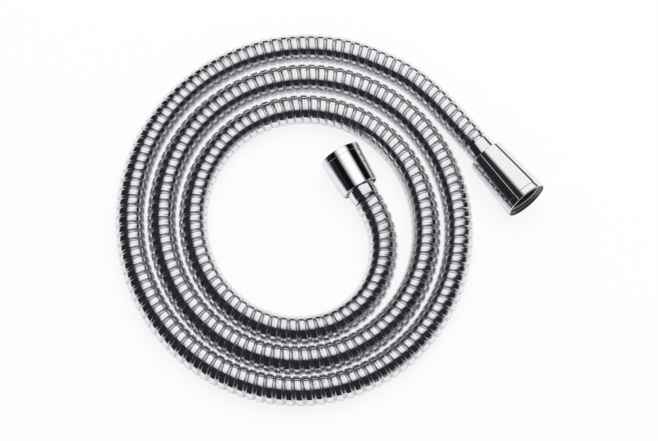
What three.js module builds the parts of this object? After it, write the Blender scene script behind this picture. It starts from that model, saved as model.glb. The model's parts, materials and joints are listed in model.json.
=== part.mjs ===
// Shower hose: a metal hose wound in a loose flat coil, with a conical nut for the hand shower
// on its outer end and a straight nut for the tap on its inner end.
// Millimetres, +Z up. The hose lies on the plane Z = 0, and the origin is under the middle of its box.
import * as THREE from 'three';

// Clearances
const seatGap = 0.3; // between two pieces that are seated on each other
const spinGap = 0.3; // around the ferrule and the flange, where a nut turns on them

// Hose: a strip-wound metal armour over a rubber inner hose
const armourDiameter = 15.6;
const armourWall = 1.3;
const innerHoseWall = 2.2;
const armourRadius = armourDiameter / 2;
const armourBore = armourRadius - armourWall;
const innerHoseRadius = armourBore - seatGap;
const innerHoseBore = innerHoseRadius - innerHoseWall;

// Coil: flat turns that spiral inwards, seen from above counter-clockwise
const turnGap = 1.6; // between one turn and the next
const coilCentre = new THREE.Vector2(-14.6, -4.0);
const coilInnerRadius = 55.05; // of the inner end
const coilDrift = new THREE.Vector2(-0.22, -0.99); // what each turn's middle moves on
const coilOval = 2.15; // how far the turns are out of round
const coilOvalHeading = 95; // degrees, the long way of the oval
const coilStart = 60; // degrees, the outer end
const coilEnd = 1005; // degrees, the inner end
const coilStep = 15; // degrees between two points of the route

// Ways off the coil, as steps from the coil's end to where the ferrule takes the hose
const wayToConeEnd = [[9.2, -5.8], [16.2, -11.8], [23.0, -18.6], [30.6, -27.6], [38.2, -36.9], [43.1, -43.2]];
const wayToTapEnd = [
  [9.3, 4.8], [17.3, 11.5], [23.3, 19.8], [27.1, 29.1], [28.9, 38.1],
  [28.9, 47.5], [27.2, 55.6], [23.3, 64.7], [20.8, 69.0],
];

// Nuts: pipe thread G 1/2 inside, drawn as a plain bore of the thread's core size
const threadCoreDiameter = 18.6;
const threadCore = threadCoreDiameter / 2;
const mouthChamfer = 0.5;
const threadDepth = 9.5; // from the mouth to the washer
const rimRound = 1.1; // at the mouth, outside
const bandGroove = 0.25; // the line that sets off the band at the mouth
const tailEdgeRound = 0.6; // at the hose side, outside

const coneNut = { length: 34, mouthDiameter: 24.4, tailDiameter: 20.7, band: 3.5, recess: 1.0, lip: 1.6 };
const tapNut = { length: 22.5, mouthDiameter: 23.0, tailDiameter: 20.9, band: 3.4, recess: 4.5, lip: 0.8 };

// Washer, and the tail that carries the water from the nut into the hose
const washerBore = 5.5;
const washerThickness = 2.0;
const flangeThickness = 1.8;
const neckRadius = 4.6;
const waterway = 2.6;
const barbHeight = 0.55;
const barbPitch = 3.2;
const flangeRadius = threadCore - spinGap;

// Ferrule: the sleeve that clamps the hose on the tail
const ferruleEndWall = 1.0;
const ferruleStepDepth = 0.45;
const ferruleStepLength = 1.3;
const ferruleRound = 0.4;
const ferruleRadius = armourRadius;
const coneFerruleShown = 9.0; // what stands out behind the nut
const tapFerruleShown = 7.3;

// Facets
const nutFacets = 36;
const tailFacets = 24;
const armourSides = 12;
const innerHoseSides = 8;
const roundSteps = 3;

// Depths from a nut's mouth, the same in both nuts
const flangeFront = threadDepth + washerThickness + seatGap;
const flangeBack = flangeFront + flangeThickness;
const ferruleFront = flangeBack + seatGap;
const innerHoseFront = ferruleFront + ferruleEndWall + seatGap;

const chrome = () => new THREE.MeshStandardMaterial({ color: 0xd4d7dc, metalness: 1, roughness: 0.1 });
const brass = () => new THREE.MeshStandardMaterial({ color: 0xc9a55c, metalness: 1, roughness: 0.35 });
const rubber = () => new THREE.MeshStandardMaterial({ color: 0x1b1b1d, metalness: 0, roughness: 0.7 });
const hoseRubber = () => new THREE.MeshStandardMaterial({ color: 0x3a3b3e, metalness: 0, roughness: 0.6 });

function piece(name, geometry, material) {
  const mesh = new THREE.Mesh(geometry, material);
  mesh.name = name;
  return mesh;
}

// A turned piece: the outline is radius against depth from the nut's mouth, and closes on itself.
function turned(name, outline, facets, material) {
  return piece(name, new THREE.LatheGeometry(outline.getPoints(roundSteps), facets), material);
}

// Nut: rounded rim, band and groove at the mouth, tapered skirt, threaded bore, the shoulder that
// bears on the tail's flange, a bore that clears the ferrule and a recess with a thin lip behind it.
function nutOutline({ length, mouthDiameter, tailDiameter, band, recess, lip }) {
  const mouth = mouthDiameter / 2;
  const tail = tailDiameter / 2;
  const ferruleBore = ferruleRadius + spinGap;
  const shoulder = flangeBack + seatGap;
  return new THREE.Path()
    .moveTo(threadCore + mouthChamfer, 0)
    .lineTo(mouth - rimRound, 0)
    .quadraticCurveTo(mouth, 0, mouth, rimRound)
    .lineTo(mouth, band)
    .lineTo(mouth - bandGroove, band + bandGroove / 2)
    .lineTo(mouth - bandGroove / 2, band + bandGroove)
    .lineTo(tail, length - tailEdgeRound)
    .quadraticCurveTo(tail, length, tail - tailEdgeRound, length)
    .lineTo(tail - lip, length)
    .lineTo(tail - lip, length - recess)
    .lineTo(ferruleBore, length - recess)
    .lineTo(ferruleBore, shoulder)
    .lineTo(threadCore, shoulder)
    .lineTo(threadCore, mouthChamfer)
    .lineTo(threadCore + mouthChamfer, 0);
}

// Ferrule: closed round the tail's neck in front, open to the hose behind, where it steps down.
function ferruleOutline(back) {
  const step = ferruleRadius - ferruleStepDepth;
  const stepFront = back - ferruleStepLength;
  return new THREE.Path()
    .moveTo(neckRadius + seatGap, ferruleFront)
    .lineTo(ferruleRadius, ferruleFront)
    .lineTo(ferruleRadius, stepFront - ferruleRound)
    .quadraticCurveTo(ferruleRadius, stepFront, step, stepFront)
    .lineTo(step, back)
    .lineTo(innerHoseRadius + seatGap, back)
    .lineTo(innerHoseRadius + seatGap, ferruleFront + ferruleEndWall)
    .lineTo(neckRadius + seatGap, ferruleFront + ferruleEndWall)
    .lineTo(neckRadius + seatGap, ferruleFront);
}

// Tail: a flange that the nut pulls on, a neck through the ferrule and a barbed stem in the inner hose.
function tailOutline(back) {
  const crest = innerHoseBore - seatGap;
  const root = crest - barbHeight;
  const stemFront = innerHoseFront - seatGap;
  const barbs = Math.floor((back - stemFront) / barbPitch);
  const outline = new THREE.Path()
    .moveTo(waterway, flangeFront)
    .lineTo(flangeRadius, flangeFront)
    .lineTo(flangeRadius, flangeBack)
    .lineTo(neckRadius, flangeBack)
    .lineTo(neckRadius, stemFront)
    .lineTo(root, stemFront);
  for (let barb = 0; barb < barbs; barb += 1) {
    const foot = stemFront + barb * barbPitch;
    outline.lineTo(root, foot + barbPitch * 0.25).lineTo(crest, foot + barbPitch * 0.3);
    outline.lineTo(root, foot + barbPitch);
  }
  return outline
    .lineTo(waterway, stemFront + barbs * barbPitch)
    .lineTo(waterway, flangeFront);
}

function washerOutline() {
  const back = threadDepth + washerThickness;
  return new THREE.Path()
    .moveTo(washerBore, threadDepth)
    .lineTo(flangeRadius, threadDepth)
    .lineTo(flangeRadius, back)
    .lineTo(washerBore, back)
    .lineTo(washerBore, threadDepth);
}

// How a nut lies on the floor: on the wide end of its skirt and on its hose side.
function nutRest(nut) {
  const wide = nut.mouthDiameter / 2;
  const narrow = nut.tailDiameter / 2;
  const slope = Math.atan((wide - narrow) / (nut.length - tailEdgeRound - nut.band));
  return { slope, mouthHeight: wide * Math.cos(slope) + nut.band * Math.sin(slope) };
}

// One end of the hose. It is built along +Y from the nut's mouth and then turned onto the hose,
// so that the ferrule ends one seat gap before the armour starts.
function hoseEnd(name, nut, shown, join, heading) {
  const rest = nutRest(nut);
  const ferruleBack = nut.length + shown;
  const reach = ferruleBack + seatGap;
  const flat = Math.cos(rest.slope);
  const axis = new THREE.Vector3(heading.x * flat, heading.y * flat, -Math.sin(rest.slope));
  const mouth = new THREE.Vector3(
    join.x - axis.x * reach,
    join.y - axis.y * reach,
    rest.mouthHeight,
  );
  const along = (depth) => mouth.clone().addScaledVector(axis, depth);

  const end = new THREE.Group();
  end.add(turned(`${name}_nut`, nutOutline(nut), nutFacets, chrome()));
  end.add(turned(`${name}_washer`, washerOutline(), nutFacets, rubber()));
  end.add(turned(`${name}_tail`, tailOutline(ferruleBack), tailFacets, brass()));
  end.add(turned(`${name}_ferrule`, ferruleOutline(ferruleBack), nutFacets, chrome()));
  end.position.copy(mouth);
  end.quaternion.setFromUnitVectors(new THREE.Vector3(0, 1, 0), axis);
  return { end, slope: rest.slope, joinHeight: along(reach).z, innerHoseEnd: along(innerHoseFront) };
}

// The coil's turns, from the outer end inwards.
function coilPoint(degrees) {
  const turns = (degrees - coilStart) / 360;
  const turnsLeft = (coilEnd - degrees) / 360;
  const pitch = armourDiameter + turnGap;
  const oval = coilOval * Math.cos(THREE.MathUtils.degToRad(2 * (degrees - coilOvalHeading)));
  const radius = coilInnerRadius + pitch * turnsLeft + oval;
  const angle = THREE.MathUtils.degToRad(degrees);
  return new THREE.Vector2(Math.cos(angle), Math.sin(angle))
    .multiplyScalar(radius)
    .add(coilCentre)
    .addScaledVector(coilDrift, turns);
}

function wayOff(coilPointAtEnd, way) {
  return way.map(([x, y]) => new THREE.Vector2(coilPointAtEnd.x + x, coilPointAtEnd.y + y));
}

// Direction of the hose as it leaves the ferrule, from the last two points of its way.
function headingInto(way) {
  const join = way[way.length - 1];
  return way[way.length - 2].clone().sub(join).normalize();
}

// The hose leaves a ferrule above the floor and settles on it in a shallow curve.
function settle(points, { slope, joinHeight }) {
  const drop = joinHeight - armourRadius;
  const run = (2 * drop) / Math.tan(slope);
  let distance = 0;
  points.forEach((point, index) => {
    if (index > 0) distance += Math.hypot(point.x - points[index - 1].x, point.y - points[index - 1].y);
    const left = Math.max(0, 1 - distance / run);
    point.z = armourRadius + drop * left * left;
  });
}

// A curve whose steps fall on the route's own points, so that the turns' facets stand side by side.
class Route extends THREE.CatmullRomCurve3 {
  getUtoTmapping(u) {
    return u;
  }
}

function ring(radius, sides) {
  return Array.from({ length: sides }, (_, side) => {
    const angle = (side / sides) * 2 * Math.PI;
    return new THREE.Vector2(radius * Math.cos(angle), radius * Math.sin(angle));
  });
}

function tube(name, route, outer, outerSides, bore, boreSides, material) {
  const section = new THREE.Shape(ring(outer, outerSides));
  section.holes.push(new THREE.Path(ring(bore, boreSides)));
  const geometry = new THREE.ExtrudeGeometry(section, {
    steps: route.length - 1,
    extrudePath: new Route(route),
  });
  return piece(name, geometry, material);
}

const coil = [];
for (let degrees = coilStart; degrees <= coilEnd; degrees += coilStep) coil.push(coilPoint(degrees));
const coneWay = wayOff(coil[0], wayToConeEnd);
const tapWay = wayOff(coil[coil.length - 1], wayToTapEnd);

const cone = hoseEnd('cone', coneNut, coneFerruleShown, coneWay[coneWay.length - 1], headingInto(coneWay));
const tap = hoseEnd('tap', tapNut, tapFerruleShown, tapWay[tapWay.length - 1], headingInto(tapWay));

const route = [...coneWay.reverse(), ...coil, ...tapWay].map(
  (point) => new THREE.Vector3(point.x, point.y, armourRadius),
);
settle(route.slice(0, route.length / 2), cone);
settle(route.slice(route.length / 2).reverse(), tap);

const hose = new THREE.Group();
hose.name = 'shower_hose';
hose.add(tube('armour', route, armourRadius, armourSides, armourBore, innerHoseSides, chrome()));
hose.add(tube(
  'inner_hose',
  [cone.innerHoseEnd, ...route, tap.innerHoseEnd],
  innerHoseRadius,
  innerHoseSides,
  innerHoseBore,
  innerHoseSides,
  hoseRubber(),
));
hose.add(cone.end, tap.end);

// The origin is under the middle of the box, also after a size is changed.
const box = new THREE.Box3().setFromObject(hose, true);
const middle = box.getCenter(new THREE.Vector3());
hose.position.set(-middle.x, -middle.y, -box.min.z);

export default hose;
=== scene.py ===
"""Shower hose, dressed for its picture: a strip-wound chrome armour laid in a loose flat coil, with a
conical nut for the hand shower, a shorter nut for the tap, and their ferrules, tails and washers."""

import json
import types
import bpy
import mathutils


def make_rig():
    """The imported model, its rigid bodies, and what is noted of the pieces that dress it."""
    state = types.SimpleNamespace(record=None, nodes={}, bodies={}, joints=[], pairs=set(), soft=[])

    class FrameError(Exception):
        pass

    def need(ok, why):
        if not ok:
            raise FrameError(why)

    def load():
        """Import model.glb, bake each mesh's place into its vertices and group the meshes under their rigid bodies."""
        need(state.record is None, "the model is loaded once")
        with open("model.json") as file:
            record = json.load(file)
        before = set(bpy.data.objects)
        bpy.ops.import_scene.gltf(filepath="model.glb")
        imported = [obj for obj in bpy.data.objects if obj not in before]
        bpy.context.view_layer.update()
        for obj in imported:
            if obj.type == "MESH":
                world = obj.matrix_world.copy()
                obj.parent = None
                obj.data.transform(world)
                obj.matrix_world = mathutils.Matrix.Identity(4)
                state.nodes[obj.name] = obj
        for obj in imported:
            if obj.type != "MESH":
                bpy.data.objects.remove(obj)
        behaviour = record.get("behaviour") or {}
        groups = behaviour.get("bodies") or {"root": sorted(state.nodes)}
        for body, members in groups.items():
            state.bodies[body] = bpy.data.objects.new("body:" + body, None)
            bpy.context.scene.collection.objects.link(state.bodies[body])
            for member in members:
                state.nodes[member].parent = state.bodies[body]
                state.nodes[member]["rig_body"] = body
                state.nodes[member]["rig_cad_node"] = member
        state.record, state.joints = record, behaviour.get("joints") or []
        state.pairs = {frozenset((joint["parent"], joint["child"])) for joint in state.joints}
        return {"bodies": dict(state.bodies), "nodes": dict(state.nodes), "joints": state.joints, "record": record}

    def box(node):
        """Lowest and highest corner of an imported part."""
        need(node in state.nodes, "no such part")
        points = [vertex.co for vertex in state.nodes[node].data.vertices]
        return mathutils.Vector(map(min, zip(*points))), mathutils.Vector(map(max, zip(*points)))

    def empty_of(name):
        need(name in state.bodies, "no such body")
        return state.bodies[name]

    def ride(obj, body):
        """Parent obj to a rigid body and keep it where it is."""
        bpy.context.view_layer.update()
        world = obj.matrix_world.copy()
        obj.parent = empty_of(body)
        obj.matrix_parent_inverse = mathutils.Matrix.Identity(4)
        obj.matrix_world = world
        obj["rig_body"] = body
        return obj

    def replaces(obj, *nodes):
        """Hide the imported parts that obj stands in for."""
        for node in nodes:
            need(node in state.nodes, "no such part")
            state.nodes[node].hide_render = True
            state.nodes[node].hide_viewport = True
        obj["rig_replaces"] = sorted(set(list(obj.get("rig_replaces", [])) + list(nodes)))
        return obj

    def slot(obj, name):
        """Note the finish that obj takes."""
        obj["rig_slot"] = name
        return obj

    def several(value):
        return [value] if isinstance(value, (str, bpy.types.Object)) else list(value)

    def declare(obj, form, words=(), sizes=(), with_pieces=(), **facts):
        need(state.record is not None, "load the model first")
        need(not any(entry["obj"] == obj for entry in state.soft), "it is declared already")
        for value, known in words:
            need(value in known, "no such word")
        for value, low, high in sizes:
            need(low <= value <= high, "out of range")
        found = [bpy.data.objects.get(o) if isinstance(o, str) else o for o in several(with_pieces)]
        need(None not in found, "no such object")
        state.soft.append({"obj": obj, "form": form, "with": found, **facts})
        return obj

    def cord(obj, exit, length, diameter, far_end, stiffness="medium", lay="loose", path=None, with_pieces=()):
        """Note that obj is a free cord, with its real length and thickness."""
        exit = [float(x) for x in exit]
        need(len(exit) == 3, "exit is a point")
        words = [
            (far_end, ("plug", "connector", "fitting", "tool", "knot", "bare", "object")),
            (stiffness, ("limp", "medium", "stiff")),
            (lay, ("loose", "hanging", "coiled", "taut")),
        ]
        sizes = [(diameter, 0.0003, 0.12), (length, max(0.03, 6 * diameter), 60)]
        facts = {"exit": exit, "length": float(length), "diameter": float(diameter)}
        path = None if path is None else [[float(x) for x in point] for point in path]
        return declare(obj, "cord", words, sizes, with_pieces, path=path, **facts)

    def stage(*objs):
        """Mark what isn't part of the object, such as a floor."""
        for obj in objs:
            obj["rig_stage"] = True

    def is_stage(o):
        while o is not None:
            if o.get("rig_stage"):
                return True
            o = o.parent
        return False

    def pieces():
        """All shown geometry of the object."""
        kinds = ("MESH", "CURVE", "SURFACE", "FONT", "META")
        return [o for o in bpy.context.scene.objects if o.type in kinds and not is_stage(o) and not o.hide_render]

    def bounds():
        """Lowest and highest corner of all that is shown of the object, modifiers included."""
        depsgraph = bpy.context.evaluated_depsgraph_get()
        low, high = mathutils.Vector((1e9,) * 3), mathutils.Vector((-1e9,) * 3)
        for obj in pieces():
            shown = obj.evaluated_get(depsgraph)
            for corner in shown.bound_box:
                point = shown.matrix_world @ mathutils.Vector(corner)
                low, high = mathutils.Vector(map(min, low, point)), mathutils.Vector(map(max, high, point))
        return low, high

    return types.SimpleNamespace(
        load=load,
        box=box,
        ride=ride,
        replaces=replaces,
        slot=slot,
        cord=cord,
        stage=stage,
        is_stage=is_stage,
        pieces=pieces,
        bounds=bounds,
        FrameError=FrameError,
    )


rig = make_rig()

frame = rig.load()

import json
import math

import bpy
import numpy as np
from mathutils import Vector

bl_info = {
    "name": "Shower hose",
    "version": (1, 0, 0),
    "blender": (4, 5, 0),
    "location": "3D View > Sidebar > Shower hose",
    "description": "Models and finishes a coiled metal shower hose with its two screwed ends",
    "category": "Add Mesh",
}

CAD_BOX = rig.bounds()
SIZE_FILE = "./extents.json"
MM = 0.001

# Hose and coil, in millimetres and degrees, as the part's source has them
ARMOUR_RADIUS = 7.8
ARMOUR_BORE = 6.5
INNER_HOSE_RADIUS = 6.2
INNER_HOSE_BORE = 4.0
COIL_PITCH = 17.2
COIL_CENTRE = (-14.6, -4.0)
COIL_INNER_RADIUS = 55.05
COIL_DRIFT = (-0.22, -0.99)
COIL_OVAL = 2.15
COIL_OVAL_HEADING = 95
COIL_START = 60
COIL_END = 1005
COIL_STEP = 15
WAY_TO_CONE_END = (
    (9.2, -5.8), (16.2, -11.8), (23.0, -18.6), (30.6, -27.6), (38.2, -36.9), (43.1, -43.2),
)
WAY_TO_TAP_END = (
    (9.3, 4.8), (17.3, 11.5), (23.3, 19.8), (27.1, 29.1), (28.9, 38.1),
    (28.9, 47.5), (27.2, 55.6), (23.3, 64.7), (20.8, 69.0),
)

# Line of the hose: points on each stretch of its curve, the even step that it is cut into, how far it
# may lie from the frame, both in millimetres, and the points that its bend is averaged over
CURVE_POINTS = 60
LINE_STEP = 0.5
FRAME_TOLERANCE = 0.5
BEND_POINTS = 41

# Armour: rings of its lining, and where the fillet beside a band turns up, as a share of its width
LINING_RINGS = 140
FOOT_KNEE = 0.3

# Fittings, in millimetres: radii, and depths from a nut's mouth. The front of a barb rises between
# two shares of its pitch, and a nut's bore is painted darker, as shade, down to a depth just past its shoulder
SEAT_GAP = 0.3
SPIN_GAP = 0.3
THREAD_CORE = 9.3
THREAD_MAJOR = 10.45
THREAD_PITCH = 1.814
THREAD_DEPTH = 9.5
INSERT_DEPTH = 1.2
INSERT_CHAMFER = 0.3
RIM_FLAT = 0.12
RIM_CHAMFER = 0.15
THREAD_RUNOUT = 0.6
WASHER_BORE = 5.5
WASHER_THICKNESS = 2.0
FLANGE_RADIUS = THREAD_CORE - SPIN_GAP
FLANGE_THICKNESS = 1.8
NECK_RADIUS = 4.6
WATERWAY = 2.6
WATERWAY_CHAMFER = 0.5
BARB_HEIGHT = 0.55
BARB_PITCH = 3.2
BARB_FRONT = (0.25, 0.3)
FERRULE_RADIUS = ARMOUR_RADIUS
FERRULE_END_WALL = 1.0
FERRULE_CORNER = 0.4
FERRULE_STEP_DEPTH = 0.45
FERRULE_STEP_LENGTH = 1.3
FLANGE_FRONT = THREAD_DEPTH + WASHER_THICKNESS + SEAT_GAP
FLANGE_BACK = FLANGE_FRONT + FLANGE_THICKNESS
FERRULE_FRONT = FLANGE_BACK + SEAT_GAP
INNER_HOSE_FRONT = FERRULE_FRONT + FERRULE_END_WALL + SEAT_GAP
SHADED_BORE_DEPTH = 14.0
TAIL_EDGE_ROUND = 0.6
CONE_END = {
    "name": "cone", "length": 34.0, "mouth": 12.2, "tail": 10.35, "band": 3.5,
    "recess": 1.0, "lip": 1.6, "shown": 9.0,
}
TAP_END = {
    "name": "tap", "length": 22.5, "mouth": 11.5, "tail": 10.45, "band": 3.4,
    "recess": 4.5, "lip": 0.8, "shown": 7.3,
}

# Ridge of the thread, in millimetres: where it starts, how far it sinks into the bore, the room that
# its crest leaves, and half its width at the root and at the crest
RIDGE_START = 2.5
RIDGE_LAP = 0.05
RIDGE_ROOM = 0.03
RIDGE_ROOT_HALF = 0.8
RIDGE_CREST_HALF = 0.12
RIDGE_TURNS = 3
RIDGE_STEPS = 64

# Meshes: points nearer than this in millimetres are merged, edges sharper than this in degrees stay
# sharp or get their bevel, and flat faces steer the armour's shading by this weight
ARMOUR_MERGE = 0.001
TURNED_MERGE = 0.002
ARMOUR_SHARP = 60
TURNED_SHARP = 35
BEVEL_FROM = 40
FLAT_FACE_WEIGHT = 90

# Noises of the finishes, as scale and detail, and where the patches in two of them start and are full
MARK_NOISE = (1300.0, 3.0)
SMEAR_NOISE = (90.0, 4.0)
TARNISH_NOISE = (160.0, 4.0)
TARNISH_EDGE = (0.4, 0.7)
GRAIN_NOISE = (2200.0, 3.0)
BLOOM_NOISE = (130.0, 3.0)
BLOOM_EDGE = (0.35, 0.75)

# Polishing marks: their stretch along the work, how far they wander in a turn, and for each finish the
# haze over its roughness and their depth in millimetres
MARK_STRETCH = (1.0, 0.06, 0.06)
MARK_WANDER = 0.01
MARKS = {
    "armour": {"haze": 0.05, "depth": 0.2},
    "chrome": {"haze": 0.03, "depth": 0.0008},
    "bore": {"haze": 0.2, "depth": 0.01},
    "brass": {"haze": 0.15, "depth": 0.01},
}

# Finishes: roughness, and tones, most as shares of the piece's own. The armour's recess keeps a darker tone,
# painted shade, and its dullness up to a share of the band's height
RECESS_TOP = 0.8
# Painted shade: the recess is darkened to this share of the chrome's tone
RECESS_SHADE_TONE = 0.76
RECESS_DULLNESS = 0.16
FITTING_ROUGHNESS_SHARE = 0.6
# Painted shade: the darker tone inside a nut's bore
BORE_SHADE_TONE = (0.36, 0.36, 0.38)
BORE_ROUGHNESS = 0.38
BRASS_ROUGHNESS = 0.22
TARNISH_TONE = 0.6
BLOOM_TONE = 2.2
RUBBER_ROUGHNESS = 0.5
RUBBER_GRAIN = 0.2
RUBBER_RELIEF = 0.02

# Camera, at the photograph's angle of view
CAMERA_ELEVATION = math.radians(72)
CAMERA_LENS = 100
CAMERA_SENSOR = 36
CAMERA_CLIP = 0.01
CAMERA_AIM = (-0.34 * MM, -3.5 * MM, 8 * MM)
CAMERA_DISTANCE = 979.7 * MM

# Floor and overhead lamp, in metres
FLOOR_SIZE = 6.0
FLOOR_DROP = 0.05 * MM
FLOOR_ROUGHNESS = 0.9
LAMP_PLACE = (0.2, 0.5, 1.3)
LAMP_SIZE = 1.4

# Softbox that the hose mirrors, in metres: each edge is where across * x + up * y + reach is 0. Its
# light fades over the edges, and loses a share towards them
SOFTBOX_HEIGHT = 0.42
SOFTBOX_SPAN = 2.4
SOFTBOX_MIDDLE = (0.5, 0.6)
SOFTBOX_EDGES = (
    (1.0, 0.0, 0.21), (-1.0, 0.0, 0.62), (0.0, -1.0, 1.15), (0.6, 0.8, 0.12), (-0.62, 0.78, 0.117),
)
SOFTBOX_FADE = 0.035
SOFTBOX_LOSS = 0.25
SOFTBOX_LOSS_WIDTH = 0.25

# Lamps that only their own nut mirrors, in metres. Across the nut's axis: where the light starts, where
# it is full, where it begins to fall and where it ends. Then its brightness, the share of it that is
# left beyond those edges, and its two ends along the axis, from the nut's middle towards its tail
NUT_LIGHT_HEIGHT = 0.40
NUT_LIGHT_REACH = (-0.7, 2.0)
NUT_LIGHTS = {
    "cone": {
        "edges": (-0.13, 0.03, 1.3, 1.8), "level": 1.02, "rest": 0.022, "along": (0.03, 1.2),
    },
    "tap": {
        "edges": (-0.29, -0.03, 0.17, 0.42), "level": 1.15, "rest": 0.004, "along": (-0.9, 0.9),
    },
}

# Slim lamp over the conical nut: where it hangs from the nut's middle, and its size, in metres
STRIP_FROM_NUT = (-0.31, -0.035, 0.30)
STRIP_SIZE = (0.025, 0.30)

# Pale parts of the studio that the chrome mirrors. The wall and the light line each lie in a heading:
# how near to it they start and are full, the degrees at which they start and are full, and their
# brightness. Degrees count from overhead, and the line's from its own middle
WALL = {"heading": (0.97, -0.26), "nearness": (0.72, 0.86), "degrees": (66.0, 76.0), "level": 0.36}
LIGHT_LINE = {
    "heading": (math.sqrt(0.5), math.sqrt(0.5)), "nearness": (0.5, 0.8),
    "degrees": (2.5, 1.0), "level": 0.18,
}
LIGHT_LINE_MIDDLE = 83.0
HORIZON_DEGREES = (90.0, 92.0)
HORIZON_LEVEL = 0.5
LEAST_LEVEL = 0.0001
ROOM_TONE = (0.62, 0.62, 0.63)
WHITE = (1.0, 1.0, 1.0)

# What all colours and all shares among the settings have in common
COLOUR = {"subtype": "COLOR", "min": 0, "max": 1}
SHARE = {"subtype": "FACTOR", "min": 0, "max": 1}


class HoseSizes(bpy.types.PropertyGroup):
    """Sizes of the strip that the armour is wound from."""

    turns: bpy.props.IntProperty(
        name="Turns", description="Turns of the strip from end to end", default=290, min=20
    )
    columns: bpy.props.IntProperty(
        name="Columns", description="Faces around the armour", default=30, min=12
    )
    band_width: bpy.props.FloatProperty(
        name="Band width", description="Width of the raised band", default=3.5 * MM, unit="LENGTH"
    )
    band_rise: bpy.props.FloatProperty(
        name="Band rise", description="Height of the band over the recess",
        default=0.8 * MM, unit="LENGTH",
    )
    band_corner: bpy.props.FloatProperty(
        name="Band corner", description="Radius of the band's edges", default=0.5 * MM, unit="LENGTH"
    )
    band_foot: bpy.props.FloatProperty(
        name="Band foot", description="Width of the fillet beside the band",
        default=0.38 * MM, unit="LENGTH",
    )


class FittingSizes(bpy.types.PropertyGroup):
    """Sizes of the turned fittings that only the picture needs."""

    facets: bpy.props.IntProperty(
        name="Facets", description="Faces around a turned piece", default=96, min=24
    )
    rim_round: bpy.props.FloatProperty(
        name="Rim round", description="Radius at a nut's mouth", default=0.4 * MM, unit="LENGTH"
    )
    groove: bpy.props.FloatProperty(
        name="Groove", description="Depth of the line behind the rim", default=0.25 * MM, unit="LENGTH"
    )
    edge: bpy.props.FloatProperty(
        name="Edge", description="Bevel on a turned piece's edges", default=0.12 * MM, unit="LENGTH"
    )


class Finishes(bpy.types.PropertyGroup):
    """Colours and gloss of the hose's materials."""

    chrome: bpy.props.FloatVectorProperty(
        name="Chrome", description="Colour of the plating", default=(0.84, 0.85, 0.87), **COLOUR
    )
    chrome_roughness: bpy.props.FloatProperty(
        name="Chrome roughness", description="Haze of the plating", default=0.05, **SHARE
    )
    brass: bpy.props.FloatVectorProperty(
        name="Brass", description="Colour of the tails", default=(0.72, 0.52, 0.24), **COLOUR
    )
    rubber: bpy.props.FloatVectorProperty(
        name="Rubber", description="Colour of the washers", default=(0.018, 0.018, 0.020), **COLOUR
    )
    lining: bpy.props.FloatVectorProperty(
        name="Inner hose", description="Colour of the inner hose",
        default=(0.045, 0.046, 0.050), **COLOUR
    )


class StudioLevels(bpy.types.PropertyGroup):
    """Tones of the floor and of the studio that the chrome mirrors."""

    floor_tone: bpy.props.FloatProperty(
        name="Floor", description="Lightness of the floor", default=0.9, **SHARE
    )
    floor_shadow: bpy.props.FloatProperty(
        name="Shadow", description="Share of the floor's look that lamps and shadows make",
        default=0.16, **SHARE
    )
    mirrored_shadow: bpy.props.FloatProperty(
        name="Mirrored shadow", description="The same share where the chrome mirrors the floor",
        default=0.6, **SHARE
    )
    softbox: bpy.props.FloatProperty(
        name="Softbox", description="Brightness of the softbox in the chrome", default=1.05, min=0
    )
    strip: bpy.props.FloatProperty(
        name="Strip", description="Brightness of the slim lamp in the conical nut", default=0.7, min=0
    )
    darkness: bpy.props.FloatVectorProperty(
        name="Darkness", description="Colour of the dark side of the studio",
        default=(0.018, 0.020, 0.026), **COLOUR
    )
    lamp_power: bpy.props.FloatProperty(
        name="Lamp", description="Power of the overhead lamp", default=11.5, min=0, subtype="POWER"
    )


# Selecting and finishing


def deselect_all():
    for obj in bpy.context.selected_objects:
        obj.select_set(False)
    bpy.context.view_layer.objects.active = None


def make_active(obj):
    deselect_all()
    obj.select_set(True)
    bpy.context.view_layer.objects.active = obj


def apply_modifiers(obj):
    make_active(obj)
    for modifier in list(obj.modifiers):
        bpy.ops.object.modifier_apply(modifier=modifier.name)


def face_outwards():
    """Points all faces of the piece in edit mode outwards, and leaves edit mode."""
    bpy.ops.mesh.select_all(action="SELECT")
    bpy.ops.mesh.normals_make_consistent(inside=False)
    bpy.ops.object.mode_set(mode="OBJECT")


def shade_by_angle(obj, degrees):
    make_active(obj)
    bpy.ops.object.shade_smooth_by_angle(angle=math.radians(degrees))


def flatten_bands(obj):
    """Smooth edges, with the wide flat faces keeping their own direction."""
    shade_by_angle(obj, ARMOUR_SHARP)
    weighted = obj.modifiers.new("flat bands", "WEIGHTED_NORMAL")
    weighted.mode = "FACE_AREA"
    weighted.weight = FLAT_FACE_WEIGHT
    weighted.keep_sharp = True
    apply_modifiers(obj)


# The route of the hose


def coil_point(degrees):
    """A point of the coil's turns, counter-clockwise and inwards, in millimetres."""
    turns = (degrees - COIL_START) / 360
    oval = COIL_OVAL * math.cos(math.radians(2 * (degrees - COIL_OVAL_HEADING)))
    radius = COIL_INNER_RADIUS + COIL_PITCH * (COIL_END - degrees) / 360 + oval
    angle = math.radians(degrees)
    return np.array([
        COIL_CENTRE[0] + COIL_DRIFT[0] * turns + radius * math.cos(angle),
        COIL_CENTRE[1] + COIL_DRIFT[1] * turns + radius * math.sin(angle),
    ])


def nut_rest(end):
    """Slope of a nut that lies on the floor, and the height of its mouth's middle."""
    slope = math.atan((end["mouth"] - end["tail"]) / (end["length"] - TAIL_EDGE_ROUND - end["band"]))
    return slope, end["mouth"] * math.cos(slope) + end["band"] * math.sin(slope)


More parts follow.
